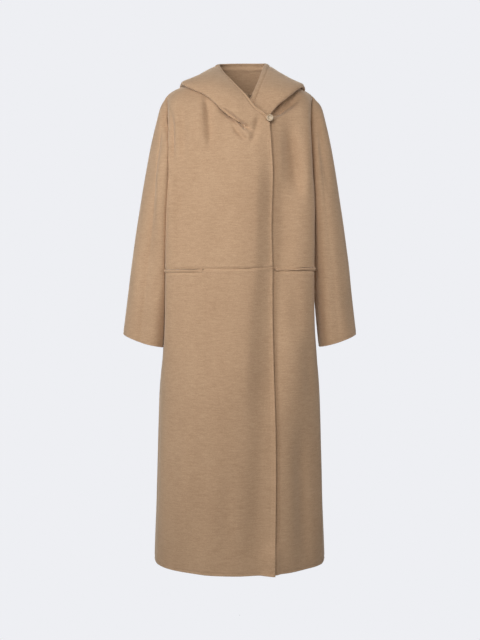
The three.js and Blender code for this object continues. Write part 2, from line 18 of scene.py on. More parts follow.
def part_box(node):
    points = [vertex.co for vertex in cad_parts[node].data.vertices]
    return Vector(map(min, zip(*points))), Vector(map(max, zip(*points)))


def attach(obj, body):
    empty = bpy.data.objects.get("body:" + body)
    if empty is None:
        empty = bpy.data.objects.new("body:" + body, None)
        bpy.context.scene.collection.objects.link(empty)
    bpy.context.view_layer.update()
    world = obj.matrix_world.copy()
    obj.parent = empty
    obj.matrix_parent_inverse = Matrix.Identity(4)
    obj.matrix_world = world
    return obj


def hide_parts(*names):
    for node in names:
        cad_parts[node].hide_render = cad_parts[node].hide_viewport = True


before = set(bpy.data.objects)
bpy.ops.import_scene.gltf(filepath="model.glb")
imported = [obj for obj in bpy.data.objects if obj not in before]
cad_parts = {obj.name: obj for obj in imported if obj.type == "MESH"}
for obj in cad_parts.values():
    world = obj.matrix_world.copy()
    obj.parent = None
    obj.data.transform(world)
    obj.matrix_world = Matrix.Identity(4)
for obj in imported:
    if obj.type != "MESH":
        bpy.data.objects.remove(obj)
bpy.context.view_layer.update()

MM = 0.001
CLOTH = 3 * MM  # the thickness of the double-faced wool
WELT_CLOTH = 3.8 * MM  # and of the welts
WELT_OVERLAP = 4.2 * MM
NECK_DROP = 34 * MM
HEM, WAIST = (end.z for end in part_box("back_skirt"))


def ease(value, start, end):
    """0 before start, 1 after end, and smooth between them."""
    t = min(max((value - start) / (end - start), 0.0), 1.0)
    return t * t * (3 - 2 * t)


# ---------------------------------------------------------------- places on the coat
def in_front(co, across, up, forward_of=-60):
    """Whether a place lies in a window of the coat's front: between two distances across the coat and two up
    it, and forward of a third from front to back, all in millimetres."""
    in_window = across[0] * MM < co.x < across[1] * MM and up[0] * MM < co.z < up[1] * MM
    return in_window and co.y < forward_of * MM


def by_the_button(co):
    """Where the right half of the hood runs into the front."""
    return in_front(co, across=(12, 73), up=(-152, -110))


def at_pinch(co):
    """Where the hood's fold runs out and pinches the right front."""
    return in_front(co, across=(-36, 62), up=(-196, -100))


def under_left_fold(co):
    """Where the left front goes back under the hood's fold."""
    return in_front(co, across=(66, 172), up=(-140, -36), forward_of=-40)


def at_front_edge(co):
    """Along the free front edge of the right front."""
    return co.x > 66 * MM and co.z < -133 * MM and co.y < -60 * MM


def where_fold_ends(co):
    """The last stretch of the hood's fold, where it opens out into the front."""
    return co.x > 13 * MM and co.z < -96 * MM and co.y < -60 * MM


def behind_neck(co):
    """Round the back of the neck, at the height of the hood's rim."""
    return co.y > 30 * MM and co.z > -30 * MM


def at_centre_back(co):
    """Where the halves of the hood meet."""
    return abs(co.x) < 0.6 * MM and co.y > 60 * MM


# ---------------------------------------------------------------- cloth from the frame
def islands(cloth):
    """The groups of faces that hang together."""
    left = set(cloth.faces)
    found = []
    while left:
        group = [left.pop()]
        for face in group:
            for near in {f for e in face.edges for f in e.link_faces} & left:
                left.discard(near)
                group.append(near)
        found.append(group)
    return found


def thickness_of(node):
    return WELT_CLOTH if "welt" in node else CLOTH


def outer_face(node, thickness):
    """The outer face of a node's wall. The rim of the wall has edges that go straight through the cloth."""
    wall = bmesh.new()
    wall.from_mesh(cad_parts[node].data)
    bmesh.ops.remove_doubles(wall, verts=wall.verts, dist=0.01 * MM)
    through = {e for e in wall.edges if abs(e.calc_length() - thickness) < 0.002 * MM}
    rim = [f for f in wall.faces if through.intersection(f.edges)]
    bmesh.ops.delete(wall, geom=rim, context="FACES")
    sheets = sorted(islands(wall), key=lambda faces: sum(f.calc_area() for f in faces))
    bmesh.ops.delete(wall, geom=[f for sheet in sheets[:-1] for f in sheet], context="FACES")
    return wall


def dissolve_diagonals(cloth):
    """Joins the triangles into the squares of the cloth's grid. The edges fall into three families, because
    two triangles that share an edge have their other edges in the same two directions. The diagonals are
    the family with no edge in the border and the longer edges."""
    cloth.faces.ensure_lookup_table()
    first = cloth.faces[0]
    family = dict(zip(first.edges, range(3)))
    reached = {first}
    queue = [first]
    for face in queue:
        for shared in face.edges:
            for other in set(shared.link_faces) - reached:
                reached.add(other)
                queue.append(other)
                for mine in set(face.edges) - {shared}:
                    for theirs in set(other.edges) - {shared}:
                        if not set(mine.verts) & set(theirs.verts):
                            family[theirs] = family[mine]
    inner = set(range(3)) - {family[e] for e in cloth.edges if e.is_boundary}
    families = [[e for e in cloth.edges if family[e] == n] for n in inner]
    diagonals = max(families, key=lambda edges: sum(e.calc_length() for e in edges) / len(edges))
    bmesh.ops.dissolve_edges(cloth, edges=diagonals, use_verts=False)


def object_of(name, cloth):
    """Turns a bmesh into an object of the scene."""
    mesh = bpy.data.meshes.new(name)
    cloth.to_mesh(mesh)
    cloth.free()
    piece = bpy.data.objects.new(name, mesh)
    bpy.context.scene.collection.objects.link(piece)
    return piece


def keep_corners(cloth, sharpest=math.radians(35)):
    """Marks the corners of the border, which rounding off leaves sharp."""
    mark = cloth.verts.layers.float.new("crease_vert")
    for v in cloth.verts:
        ways = [(e.other_vert(v).co - v.co) for e in v.link_edges if e.is_boundary]
        if len(ways) == 2 and ways[0].angle(-ways[1]) > sharpest:
            v[mark] = 1.0


def spread_out(cloth, where, rounds=30):
    """Evens out the cloth between its border and what lies further in, where a fold runs out."""
    loose = [v for v in cloth.verts if where(v.co) and not v.is_boundary]
    every_way = dict(use_axis_x=True, use_axis_y=True, use_axis_z=True)
    for _ in range(rounds):
        bmesh.ops.smooth_vert(cloth, verts=loose, factor=0.5, **every_way)


def rounded(node, levels=3, longest_cell=9 * MM):
    """A node's outer face, rounded off by subdivision, as a fine bmesh."""
    cloth = outer_face(node, thickness_of(node))
    dissolve_diagonals(cloth)
    keep_corners(cloth)
    if node == "hood_right":
        spread_out(cloth, where_fold_ends)
    coarse = object_of(node + "_coarse", cloth)
    smooth = coarse.modifiers.new("round", "SUBSURF")
    smooth.levels = smooth.render_levels = levels
    smooth.boundary_smooth = "PRESERVE_CORNERS"
    shown = coarse.evaluated_get(bpy.context.evaluated_depsgraph_get())
    fine = bmesh.new()
    fine.from_mesh(shown.to_mesh())
    shown.to_mesh_clear()
    bpy.data.objects.remove(coarse)
    long_cells = [e for e in fine.edges if e.calc_length() > longest_cell]
    bmesh.ops.subdivide_edges(fine, edges=long_cells, cuts=1, use_grid_fill=True)
    fine.normal_update()
    return fine


# ---------------------------------------------------------------- borders
def along_border(edges, step=1.5 * MM):
    """Points along edges of a cloth, a small step apart."""
    points = []
    for e in edges:
        count = max(1, round(e.calc_length() / step))
        points += [e.verts[0].co.lerp(e.verts[1].co, n / count) for n in range(count)]
    return points


def tree_of(points):
    """A tree that finds the nearest of some points."""
    tree = KDTree(len(points))
    for n, point in enumerate(points):
        tree.insert(point, n)
    tree.balance()
    return tree


def border_of(cloth):
    """The edges round a cloth."""
    return [e for e in cloth.edges if e.is_boundary]


def middle(e):
    return (e.verts[0].co + e.verts[1].co) / 2


def sort_borders(cloths, near=4 * MM):
    """For each cloth, the border edges that are sewn to another cloth and those that hang free."""
    borders = {name: border_of(cloth) for name, cloth in cloths.items()}
    trees = {name: tree_of(along_border(edges)) for name, edges in borders.items()}
    sorted_borders = {}
    for name, edges in borders.items():
        others = [tree for other, tree in trees.items() if other != name]
        sewn = [e for e in edges if any(tree.find(middle(e))[2] < near for tree in others)]
        sorted_borders[name] = sewn, [e for e in edges if e not in set(sewn)]
    return sorted_borders


def finer_by_border(cloth, reach=11 * MM, cuts=2):
    """Adds rows close to the border, where the seams and turned edges need them."""
    tree = tree_of(along_border(border_of(cloth)))
    away = {v: tree.find(v.co)[2] for v in cloth.verts}
    across = []
    for e in cloth.edges:
        near, far = sorted(away[v] for v in e.verts)
        if near < reach and far - near > 0.7 * e.calc_length() and e.calc_length() > 3.5 * MM:
            across.append(e)
    bmesh.ops.subdivide_edges(cloth, edges=across, cuts=cuts, use_grid_fill=True)
    cloth.normal_update()


def finer_at(cloth, where):
    """Halves the cells of the cloth in one place."""
    edges = [e for e in cloth.edges if where(middle(e))]
    bmesh.ops.subdivide_edges(cloth, edges=edges, cuts=1, use_grid_fill=True)
    cloth.normal_update()


# ---------------------------------------------------------------- seams and edges
SEAM_DEPTH = 2 * MM
SEAM_WIDTH = 2.6 * MM
LIP = 0.3  # the share of a seam's depth by which the cloth swells beside it
MOUTH_END = 16 * MM  # the length over which a pocket's mouth closes at each end
TURNING = 5.2 * MM  # the row of hidden stitches runs this far inside a free edge
TURNING_DEPTH = 0.9 * MM
STITCH_LINE = 1.8 * MM
HOOD_TURNING = {"hood_left": 14 * MM, "hood_right": 5.5 * MM}  # at the front of the hood's rim
BACK_TURNING = 18 * MM  # and behind the neck
HOOD_TURNING_DEPTH = 2.2 * MM


def seam_depth(node, co):
    """How far a seam is drawn in. At a pocket's mouth the bodice's edge stands over the welt's, and the
    armhole's seam lies deepest where the right sleeve presses on the front."""
    by_waist = abs(co.z - WAIST) < 4 * MM
    if "welt" in node:
        low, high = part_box(node)
        inside = ease(co.x, low.x, low.x + MOUTH_END) * ease(-co.x, -high.x, MOUTH_END - high.x)
        return (0.8 + (3.8 if by_waist else 1) * inside) * MM
    if node in ("right_front_bodice", "right_sleeve") and co.y < 0:
        return SEAM_DEPTH + 5 * MM * ease(-co.z, 85 * MM, 125 * MM) * ease(co.z, -240 * MM, -190 * MM)
    if "front_bodice" in node and by_waist:
        low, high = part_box(node.split("_")[0] + "_pocket_welt")
        if low.x < co.x < high.x:
            return 0.2 * MM
    return SEAM_DEPTH


def turning(node, co):
    """How wide the turned edge is, how far its line is drawn in and how wide the line is."""
    if node not in HOOD_TURNING:
        return TURNING, TURNING_DEPTH, STITCH_LINE
    behind = ease(co.y, 20 * MM, 60 * MM)
    width = HOOD_TURNING[node] * (1 - behind) + BACK_TURNING * behind
    return width, HOOD_TURNING_DEPTH, STITCH_LINE + 1.2 * MM * behind


def press_edges(node, cloth, sewn, free):
    """Draws the cloth in along its seams, and lays the line of the turned edge inside its free ones."""
    moves = {}
    if sewn:
        seams = tree_of(along_border(sewn))
        for v in cloth.verts:
            spot, _, away = seams.find(v.co)
            if away < 4 * SEAM_WIDTH:
                lip = LIP * math.exp(-(((away - 2.6 * SEAM_WIDTH) / SEAM_WIDTH) ** 2))
                moves[v] = seam_depth(node, spot) * (math.exp(-((away / SEAM_WIDTH) ** 2)) - lip)
    if free:
        edge = tree_of(along_border(free))
        for v in cloth.verts:
            away = edge.find(v.co)[2]
            width, deep, line = turning(node, v.co)
            if away < 2 * width:
                groove = math.exp(-(((away - width) / line) ** 2))
                rolled = 0.5 * math.exp(-((away / (1.5 * MM)) ** 2))
                full = 0.6 * ease(width, 8 * MM, 12 * MM) * math.sin(min(away / width, 1) * math.pi)
                moves[v] = moves.get(v, 0) + deep * (groove + rolled - full)
    for v, deep in moves.items():
        v.co -= v.normal * deep


def nearest_on(edges):
    """A function that gives the nearest place on some edges as they lie now."""
    ends = [(e.verts[0].co.copy(), e.verts[1].co.copy()) for e in edges]
    tree = tree_of([(a + b) / 2 for a, b in ends])

    def nearest(co):
        spots = []
        for _, n, _ in tree.find_n(co, 5):
            a, b = ends[n]
            spots.append(a.lerp(b, min(max(intersect_point_line(co, a, b)[1], 0), 1)))
        return min(spots, key=lambda spot: (spot - co).length)

    return nearest


def sew(cloths, near=4 * MM, where=lambda co: True, lap=0.15 * MM):
    """Closes the seams: a border that lies near another goes half the way to it, and laps a little on."""
    places = {name: nearest_on(border_of(cloth)) for name, cloth in cloths.items()}
    for name, cloth in cloths.items():
        others = [nearest for other, nearest in places.items() if other != name]
        for v in [v for v in cloth.verts if v.is_boundary and where(v.co)]:
            way = min((nearest(v.co) - v.co for nearest in others), key=lambda way: way.length)
            if 0 < way.length < near:
                v.co += way / 2 + way.normalized() * lap


def lap_centre_back(cloths, lap=0.9 * MM):
    """Lays the halves of the hood a little way into each other down the middle of the back."""
    for node, past in (("hood_right", lap), ("hood_left", -lap)):
        for v in cloths[node].verts:
            if v.is_boundary and abs(v.co.x) < 4 * MM and v.co.y > 60 * MM:
                v.co.x = past


def run_together(cloth, other, where, share_at, rounds=4):
    """Brings a cloth's border onto another's along one stretch, and evens both out around it, so that one
    runs into the other with no line between. share_at says how much of this a place gets."""
    stretch = [e for e in border_of(other) if where(middle(e))]
    nearest = nearest_on(stretch)
    for v in {v for e in border_of(cloth) if where(middle(e)) for v in e.verts}:
        spot = nearest(v.co)
        v.co = v.co.lerp(spot, share_at(v.co) * (1 - ease((spot - v.co).length, 3 * MM, 5 * MM)))
    line = tree_of(along_border(stretch))
    for _ in range(rounds):
        cloth.normal_update()
        other.normal_update()
        verts = [v for c in (cloth, other) for v in c.verts if line.find(v.co)[2] < 34 * MM]
        tree = tree_of([v.co for v in verts])
        moves = []
        for v in verts:
            share = (1 - ease(line.find(v.co)[2], 8 * MM, 22 * MM)) * share_at(v.co)
            near = [verts[n] for _, n, _ in tree.find_range(v.co, 10 * MM)]
            near = [n for n in near if n.normal.dot(v.normal) > 0.3]
            way = sum((n.normal for n in near), Vector()).normalized()
            mean = sum((n.co for n in near), Vector()) / len(near)
            moves.append(way * ((mean - v.co).dot(way) * share))
        for v, move in zip(verts, moves):
            v.co += move


# ---------------------------------------------------------------- folds of one cloth against another
def draw_fold_down(cloth):
    """Draws the last stretch of the hood's fold down, so that it runs straight to its end."""
    for v in [v for v in cloth.verts if v.co.y < -50 * MM]:
        drop = (10 + 7 * ease(v.co.x, -5 * MM, 18 * MM)) * MM
        along = ease(v.co.x, -105 * MM, -45 * MM) * ease(-v.co.x, -64 * MM, -24 * MM)
        across = ease(v.co.z, -215 * MM, -140 * MM) * ease(-v.co.z, 56 * MM, 98 * MM)
        v.co.z -= drop * along * across
        v.co.y -= 0.2 * drop * along * across


def lay_pinch(cloth):
    """Presses the pinch's creases straight back, so that every layer of cloth gets the same."""
    for v in [v for v in cloth.verts if v.co.y < -50 * MM]:
        v.co.y += sum(dip(crease, v.co.x / MM, v.co.z / MM) for crease in PINCH_CREASES) * MM


def tuck_under(hood, bodice, start, end, deep, reach=17 * MM, hood_reach=8 * MM, run_out=26 * MM):
    """Lays the bodice back under the hood's fold between two places, and the hood's border with it."""

    def on_bodice(away):
        return math.exp(-((away / reach) ** 2))

    def on_hood(away):
        return max(1 - away / hood_reach, 0)

    neckline = [e for e in border_of(bodice) if middle(e).y < -20 * MM and middle(e).z > -140 * MM]
    seam = tree_of(along_border(neckline))
    for cloth, faded in ((bodice, on_bodice), (hood, on_hood)):
        for v in [v for v in cloth.verts if v.co.y < 0]:
            spot, _, away = seam.find(v.co)
            share = ease(spot.x, start - run_out, start) * ease(-spot.x, -end - run_out, -end)
            v.co.y += deep * share * faded(away)


def part_fronts(cloths, lift=3.2 * MM, sink=4.5 * MM):
    """Stands the right front's edge off the left front, which lies back behind it."""
    over = [cloths["right_front_bodice"], cloths["right_front_skirt"]]
    under = [cloths["left_front_bodice"], cloths["left_front_skirt"]]
    free_edge = [e for cloth in over for e in border_of(cloth) if at_front_edge(middle(e))]
    edge = tree_of(along_border(free_edge))
    for cloths_here, reach, way in ((over, 13 * MM, -lift), (under, 15 * MM, sink)):
        for v in [v for cloth in cloths_here for v in cloth.verts if v.co.y < 0]:
            away = edge.find(v.co)[2]
            v.co.y += way * (1 - ease(away, 0, reach)) * ease(-v.co.z, 145 * MM, 185 * MM)


def widen_welt(cloth, right_end, left_end, drawn_out=40 * MM):
    """Lays a welt's ends over the slanting ends of its mouth."""
    low, high = (f(v.co.x for v in cloth.verts) for f in (min, max))
    for v in cloth.verts:
        to_left = left_end * ease(v.co.x, high - drawn_out, high)
        to_right = right_end * ease(-v.co.x, -low - drawn_out, -low)
        v.co.x += to_left - to_right


def lower_back_neck(cloth):
    """Lets the seam behind the neck down inside the hood, with the cloth on both sides of it."""
    for v in cloth.verts:
        behind = ease(v.co.y, 20 * MM, 62 * MM) * ease(-v.co.y, -104 * MM, -84 * MM)
        by_seam = ease(v.co.z, -90 * MM, -10 * MM) * ease(-v.co.z, -46 * MM, -20 * MM)
        v.co.z -= NECK_DROP * behind * by_seam * ease(-abs(v.co.x), -78 * MM, -30 * MM)


# ---------------------------------------------------------------- creases
# A crease runs from one place to another, in millimetres across the coat and up it. bow is how far its
# middle bends to the right, left and right are how far it spreads each way, and a depth below zero
# raises a ridge. Sideways places on the coat's sides are measured from front to back.
Crease = namedtuple("Crease", "x0 z0 x1 z1 bow left right depth")
PINCH_CREASES = [
    Crease(-54, -90, 35, -160, 0, 9, 4, 13),
    Crease(-20, -136, 24, -184, -4, 8, 6, 7),
    Crease(48, -112, 22, -200, 5, 8, 10, 6),
    Crease(6, -154, 30, -176, 0, 8, 8, -3),
]
BODICE_CREASES = [
    Crease(-92, -40, -78, -215, 4, 8, 13, 10),
    Crease(-106, -70, -100, -190, 0, 9, 9, -3),
    Crease(-182, -80, -174, -250, 0, 5, 8, 9),
    Crease(-178, -250, -176, -500, 0, 12, 12, -6),
    Crease(-156, -60, -146, -240, 3, 9, 12, 6),
    Crease(-128, -130, -120, -300, 0, 16, 16, -3),
    Crease(-158, -240, -150, -420, 0, 12, 14, 3),
    Crease(83, -112, 152, -59, -3, 11, 22, 19),
    Crease(128, -130, 158, -332, 0, 19, 14, 17),
    Crease(98, -165, 112, -300, 0, 11, 10, -3),
    Crease(176, -150, 174, -340, 0, 12, 12, -3),
]
FRONT_CREASES = [
    Crease(108, -210, 98, -600, 0, 42, 38, 20),
    Crease(42, -170, 34, -620, 0, 70, 26, -12),
    Crease(94, -510, 74, -900, 0, 38, 34, 18),
    Crease(22, -540, 8, -900, 0, 60, 26, -8),
    Crease(70, -800, 44, -1295, 0, 34, 44, 12),
    Crease(84, -1205, 88, -1330, 0, 20, 12, -11),
    Crease(158, -900, 172, -1295, 0, 22, 17, 8),
    Crease(140, -510, 146, -700, 0, 24, 18, 5),
    Crease(178, -680, 186, -880, 0, 22, 14, 5),
    Crease(-84, -890, -94, -1250, 0, 30, 20, 4),
    Crease(-128, -860, -150, -1290, 0, 30, 26, -6),
    Crease(-30, -1010, -36, -1290, 0, 24, 18, 3.5),
    Crease(-60, -300, -40, -470, 0, 30, 22, 4),
]
BACK_CREASES = [
    Crease(-128, -120, -96, -330, -6, 14, 20, 6),
    Crease(136, -130, 112, -360, 6, 18, 13, 5),
    Crease(-150, -330, -134, -500, 0, 16, 18, 3.5),
    Crease(-70, -470, -84, -1290, 0, 26, 30, 4),
    Crease(78, -450, 92, -1290, 0, 30, 24, 4.5),
    Crease(-150, -700, -172, -1290, 0, 26, 22, 5),
    Crease(148, -760, 164, -1290, 0, 20, 26, 4.5),
    Crease(20, -640, 14, -1290, 0, 30, 22, 4),
    Crease(-28, -900, -36, -1290, 0, 22, 26, -3),
    Crease(124, -900, 130, -1290, 0, 20, 20, -2.5),
    Crease(-40, -270, -10, -440, 0, 34, 26, 2.5),
    Crease(52, -290, 40, -430, 0, 20, 26, 2),
]
SIDE_CREASES = [
    Crease(-20, -700, -30, -1290, 0, 20, 26, 4),
    Crease(36, -780, 44, -1290, 0, 24, 18, 5),
    Crease(-60, -860, -74, -1290, 0, 20, 20, -3),
]
RIGHT_SLEEVE_FRONT = [
    Crease(-203, -190, -208, -520, 0, 16, 16, -9),
    Crease(-214, -110, -246, -330, 0, 16, 12, 3),
    Crease(-206, -330, -232, -560, 6, 14, 18, 3.5),
    Crease(-262, -420, -278, -660, 0, 16, 14, -2.5),
    Crease(-206, -520, -228, -600, 0, 10, 14, 4),
    Crease(-240, -600, -250, -705, 0, 16, 14, 2.5),
]
LEFT_SLEEVE_FRONT = [
    Crease(203, -84, 238, -330, 0, 11, 13, 7),
    Crease(226, -90, 262, -300, 0, 12, 12, -2.5),
    Crease(262, -420, 286, -680, 0, 18, 16, 3),
    Crease(228, -520, 232, -700, 0, 14, 12, -2.5),
    Crease(290, -560, 300, -690, 0, 12, 12, 3),
]
SLEEVE_BACK = [
    Crease(206, -130, 250, -360, 0, 14, 18, 6),
    Crease(216, -380, 244, -420, 8, 10, 12, 4),
    Crease(210, -430, 262, -480, 10, 12, 14, 5),
    Crease(250, -520, 276, -690, 0, 16, 16, 4),
    Crease(220, -560, 236, -700, 0, 14, 14, -3),
]


FADING = 0.35  # the share of a crease's length over which it deepens at each end


def dip(crease, x, z):
    """How deep a crease is at a place: steeper on one side, and fading out at both ends."""
    dx, dz = crease.x1 - crease.x0, crease.z1 - crease.z0
    length = math.hypot(dx, dz)
    t = ((x - crease.x0) * dx + (z - crease.z0) * dz) / length ** 2
    if not -0.5 < t < 1.5:  # well past its ends
        return 0.0
    off = ((z - crease.z0) * dx - (x - crease.x0) * dz) / length
    off -= crease.bow * 4 * t * (1 - t)
    width = crease.left if off < 0 else crease.right
    if abs(off) > 3 * width:
        return 0.0
    past = (crease.left + crease.right) / 2 / length
    ends = ease(t, -past, FADING) * ease(1 - t, -past, FADING)
    return crease.depth * math.exp(-((off / width) ** 2)) * ends


def lay_creases(cloth, creases, towards, across):
    """Presses creases into the side of a cloth that faces one way. across gives a place's sideways distance
    from the middle."""
    moves = {}
    for v in cloth.verts:
        facing = ease(v.normal.dot(towards), 0.05, 0.45)
        if facing:
            deep = sum(dip(c, across(v.co) / MM, v.co.z / MM) for c in creases)
            moves[v] = v.normal * (-deep * facing * MM)
    for v, move in moves.items():
        v.co += move


def settle(cloth, amount=1.2 * MM):
    """The slow, uneven waver of heavy cloth, the same field through every piece. The waist seam waves too,
    and is raised a little, more on the left front."""
    for v in cloth.verts:
        slow = noise.noise(Vector((v.co.x * 9, v.co.y * 9, v.co.z * 4.5)))
        quick = noise.noise(Vector((v.co.x * 24 + 7, v.co.y * 24, v.co.z * 11)))
        v.co += v.normal * (amount * (slow + 0.35 * quick))
        by_waist = math.exp(-(((v.co.z - WAIST) / (50 * MM)) ** 2))
        rise = (3 + 4.5 * ease(v.co.x, 0, 90 * MM)) * MM
        wave = 1.8 * MM * noise.noise(Vector((v.co.x * 15, v.co.y * 15, 3)))
        v.co.z += (rise + wave) * by_waist


FORWARD, BACKWARD = Vector((0, -1, 0)), Vector((0, 1, 0))
LEFTWARD, RIGHTWARD = Vector((1, 0, 0)), Vector((-1, 0, 0))


def crease_body(cloth):
    """The creases of the fronts, the back and the sides, each on the cloth that faces its way."""
    lay_pinch(cloth)
    lay_creases(cloth, FRONT_CREASES, FORWARD, lambda co: co.x)
    lay_creases(cloth, BACK_CREASES, BACKWARD, lambda co: co.x)
    lay_creases(cloth, SIDE_CREASES, LEFTWARD, lambda co: co.y)
    lay_creases(cloth, SIDE_CREASES, RIGHTWARD, lambda co: co.y * 0.9 + 0.01)


def crease_sleeve(cloth, sign, front):
    """The creases of a sleeve. Behind, both sleeves have the same ones, mirrored."""
    lay_creases(cloth, front, FORWARD, lambda co: co.x)
    lay_creases(cloth, SLEEVE_BACK, BACKWARD, lambda co: co.x * sign)


def press_sleeve(cloth, body, sign, most, clear=0.6 * MM, furthest=80 * MM):
    """Fills the sleeve out towards the body, as far as the body leaves room."""
    moves = {}
    for v in cloth.verts:
        inward = max(-v.normal.x * sign, 0) * max(-v.normal.y, 0)
        if not inward:
            continue
        hits = [tree.ray_cast(v.co, v.normal, furthest)[3] for tree in body]
        room = min([hit for hit in hits if hit is not None], default=furthest)
        wanted = most * 4 * inward ** 1.5 * ease(-v.co.z, 120 * MM, 200 * MM)
        moves[v] = min(wanted, max(room - clear, 0))
    for v, move in moves.items():
        v.co += v.normal * move


# ---------------------------------------------------------------- materials
def noise_field(nodes, links, place, stretch, scale, detail=2.0):
    """A grey noise with a size for each direction, in cells to the metre."""
    mapping = nodes.new("ShaderNodeMapping")
    mapping.inputs["Scale"].default_value = stretch
    links.new(place, mapping.inputs["Vector"])
    field = nodes.new("ShaderNodeTexNoise")
    field.inputs["Scale"].default_value = scale
    field.inputs["Detail"].default_value = detail
    links.new(mapping.outputs[0], field.inputs["Vector"])
    return field.outputs["Fac"]


def weigh(nodes, links, terms):
    """The sum of some fields, each times its weight."""
    total = None
    for field, weight in terms:
        step = nodes.new("ShaderNodeMath")
        step.operation = "MULTIPLY_ADD"
        links.new(field, step.inputs[0])
        step.inputs[1].default_value = weight
        if total is None:
            step.inputs[2].default_value = 0
        else:
            links.new(total, step.inputs[2])
        total = step.outputs[0]
    return total


def blend_colours(nodes, links, by, low, high, dark, light):
    """A colour that goes from dark to light as a field goes from low to high."""
    ramp = nodes.new("ShaderNodeValToRGB")
    ramp.color_ramp.elements[0].position = low
    ramp.color_ramp.elements[0].color = (*dark, 1)
    ramp.color_ramp.elements[1].position = high
    ramp.color_ramp.elements[1].color = (*light, 1)
    links.new(by, ramp.inputs[0])
    return ramp.outputs[0]


def raise_nap(nodes, links, shader, height, strength, distance):
    """The fine surface of a finish, too small for the mesh."""
    bump = nodes.new("ShaderNodeBump")
    bump.inputs["Strength"].default_value = strength
    bump.inputs["Distance"].default_value = distance
    links.new(height, bump.inputs["Height"])
    links.new(bump.outputs[0], shader.inputs["Normal"])


def wool():
    """Camel double-faced wool: fine brushed streaks across the coat, a slight heather and a soft nap."""
    material = bpy.data.materials.new("camel_wool")
    material.use_nodes = True
    nodes, links = material.node_tree.nodes, material.node_tree.links
    shader = nodes["Principled BSDF"]
    shader.inputs["Roughness"].default_value = 0.95
    shader.inputs["Specular IOR Level"].default_value = 0.15
    shader.inputs["Sheen Weight"].default_value = 0.45
    shader.inputs["Sheen Roughness"].default_value = 0.5
    shader.inputs["Sheen Tint"].default_value = (1, 0.86, 0.7, 1)
    place = nodes.new("ShaderNodeTexCoord").outputs["Object"]
    streaks = noise_field(nodes, links, place, (0.16, 0.16, 1), 330, 3)
    short_streaks = noise_field(nodes, links, place, (0.4, 0.4, 1), 560, 2)
    heather = noise_field(nodes, links, place, (1, 1, 1), 420, 3)
    broad = noise_field(nodes, links, place, (1, 1, 0.6), 11, 2)
    tone = weigh(nodes, links, [(streaks, 0.3), (short_streaks, 0.25), (heather, 0.3), (broad, 0.15)])
    colour = blend_colours(nodes, links, tone, 0.36, 0.64, (0.39, 0.247, 0.149), (0.535, 0.362, 0.231))
    links.new(colour, shader.inputs["Base Color"])
    fuzz = noise_field(nodes, links, place, (0.35, 0.35, 1), 1100, 3)
    nap = weigh(nodes, links, [(streaks, 0.5), (short_streaks, 0.3), (fuzz, 0.35)])
    raise_nap(nodes, links, shader, nap, 0.5, 0.9 * MM)
    return material


def horn():
    """Pale horn, cloudy, with faint growth lines and a low polish."""
    material = bpy.data.materials.new("pale_horn")
    material.use_nodes = True
    nodes, links = material.node_tree.nodes, material.node_tree.links
    shader = nodes["Principled BSDF"]
    shader.inputs["Roughness"].default_value = 0.38
    shader.inputs["Subsurface Weight"].default_value = 0.1
    shader.inputs["Subsurface Radius"].default_value = (0.003, 0.002, 0.001)
    place = nodes.new("ShaderNodeTexCoord").outputs["Object"]
    lines = noise_field(nodes, links, place, (1, 1, 0.12), 1400, 2)
    clouds = noise_field(nodes, links, place, (1, 1, 0.5), 160, 2)
    tone = weigh(nodes, links, [(lines, 0.4), (clouds, 0.6)])
    colour = blend_colours(nodes, links, tone, 0.35, 0.65, (0.34, 0.245, 0.155), (0.6, 0.48, 0.34))
    links.new(colour, shader.inputs["Base Color"])
    raise_nap(nodes, links, shader, lines, 0.2, 0.1 * MM)
    return material


def thread():
    """Matt camel thread, with the shade of its twist."""
    material = bpy.data.materials.new("camel_thread")
    material.use_nodes = True
    nodes, links = material.node_tree.nodes, material.node_tree.links
    shader = nodes["Principled BSDF"]
    shader.inputs["Roughness"].default_value = 0.8
    place = nodes.new("ShaderNodeTexCoord").outputs["Object"]
    twist = noise_field(nodes, links, place, (1, 1, 1), 3000, 2)
    colour = blend_colours(nodes, links, twist, 0.35, 0.65, (0.36, 0.235, 0.145), (0.52, 0.37, 0.245))
    links.new(colour, shader.inputs["Base Color"])
    raise_nap(nodes, links, shader, twist, 0.4, 0.2 * MM)
    return material


WOOL, HORN, THREAD = wool(), horn(), thread()

# ---------------------------------------------------------------- the cut
# Each finished piece laid out flat, in metres and square metres, and what it hangs from.
Cut = namedtuple("Cut", "width length area held hangs_from")
CUTS = {
    "right_front_bodice": Cut(0.41, 0.53, 0.17, "draped", ["back_bodice"]),
    "left_front_bodice": Cut(0.32, 0.53, 0.147, "draped", ["back_bodice"]),
    "right_front_skirt": Cut(0.42, 0.775, 0.302, "hung", ["right_front_bodice"]),
    "left_front_skirt": Cut(0.39, 0.775, 0.283, "hung", ["left_front_bodice"]),
    "back_bodice": Cut(0.52, 0.56, 0.251, "draped", ["right_front_bodice", "left_front_bodice"]),
    "back_skirt": Cut(0.6, 0.775, 0.434, "hung", ["back_bodice"]),
    "right_sleeve": Cut(0.62, 0.66, 0.216, "hung", ["right_front_bodice", "back_bodice"]),
    "left_sleeve": Cut(0.62, 0.66, 0.224, "hung", ["left_front_bodice", "back_bodice"]),
    "hood_right": Cut(0.36, 0.5, 0.119, "folded", ["right_front_bodice", "back_bodice"]),
    "hood_left": Cut(0.36, 0.5, 0.12, "folded", ["left_front_bodice", "back_bodice"]),
    "right_pocket_welt": Cut(0.15, 0.016, 0.0022, "stretched", ["right_front_skirt"]),
    "left_pocket_welt": Cut(0.15, 0.016, 0.0022, "stretched", ["left_front_skirt"]),
}

# ---------------------------------------------------------------- dressing
FLUSH = {
    "right_front_bodice": by_the_button,
    "hood_right": lambda co: by_the_button(co) or at_centre_back(co),
    "hood_left": at_centre_back,
}


